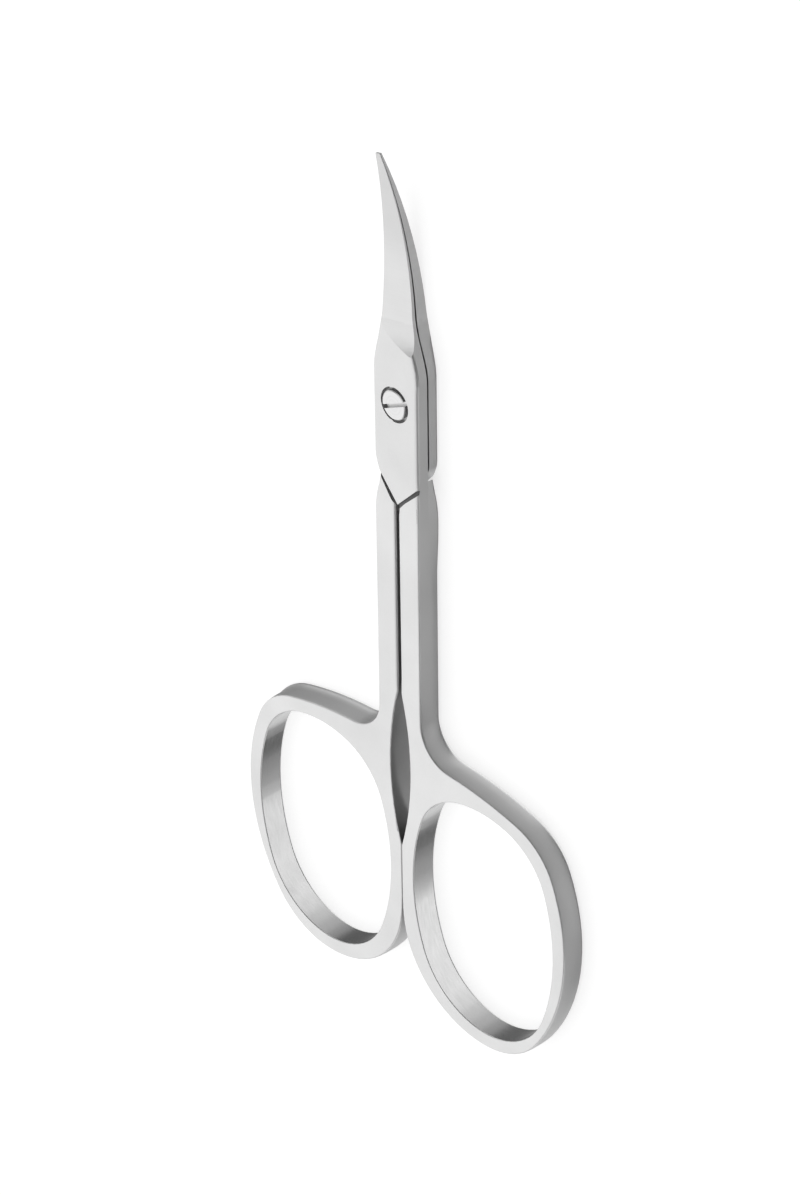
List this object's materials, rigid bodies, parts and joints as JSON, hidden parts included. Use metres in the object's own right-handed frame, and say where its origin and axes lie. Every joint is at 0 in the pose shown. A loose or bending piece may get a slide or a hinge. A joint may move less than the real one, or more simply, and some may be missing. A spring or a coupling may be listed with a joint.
{
  "type": "cuticle scissors",
  "caption": "Small satin steel cuticle scissors with fine curved blades, slim shanks and egg-shaped finger rings, lapped at a slotted pivot screw.",
  "frame": {"origin": "middle of the closed pair's bounding box, at its underside", "axes": "+Y from the rings to the blade tips, +Z from the back to the side with the screw head, +X towards the thumb half's ring"},
  "size_m": [0.0438, 0.0926, 0.0044],
  "materials": {
    "satin_steel": "fine satin, ground bright on the blades",
    "screw_steel": "turned and polished"
  },
  "bodies": {
    "finger_half": {"finger_half": "satin_steel"},
    "thumb_half": {"thumb_half": "satin_steel"},
    "pivot_screw": {"pivot_screw": "screw_steel"}
  },
  "joints": [
    {"name": "pivot", "type": "hinge", "parent": "finger_half", "child": "thumb_half", "pos_m": [0, 0.02067, 0], "axis": [0, 0, 1], "range_deg": [0, 150]},
    {"name": "screw_turn", "type": "hinge", "parent": "finger_half", "child": "pivot_screw", "pos_m": [0, 0.02067, 0], "axis": [0, 0, 1], "range_deg": [-45, 45]}
  ]
}
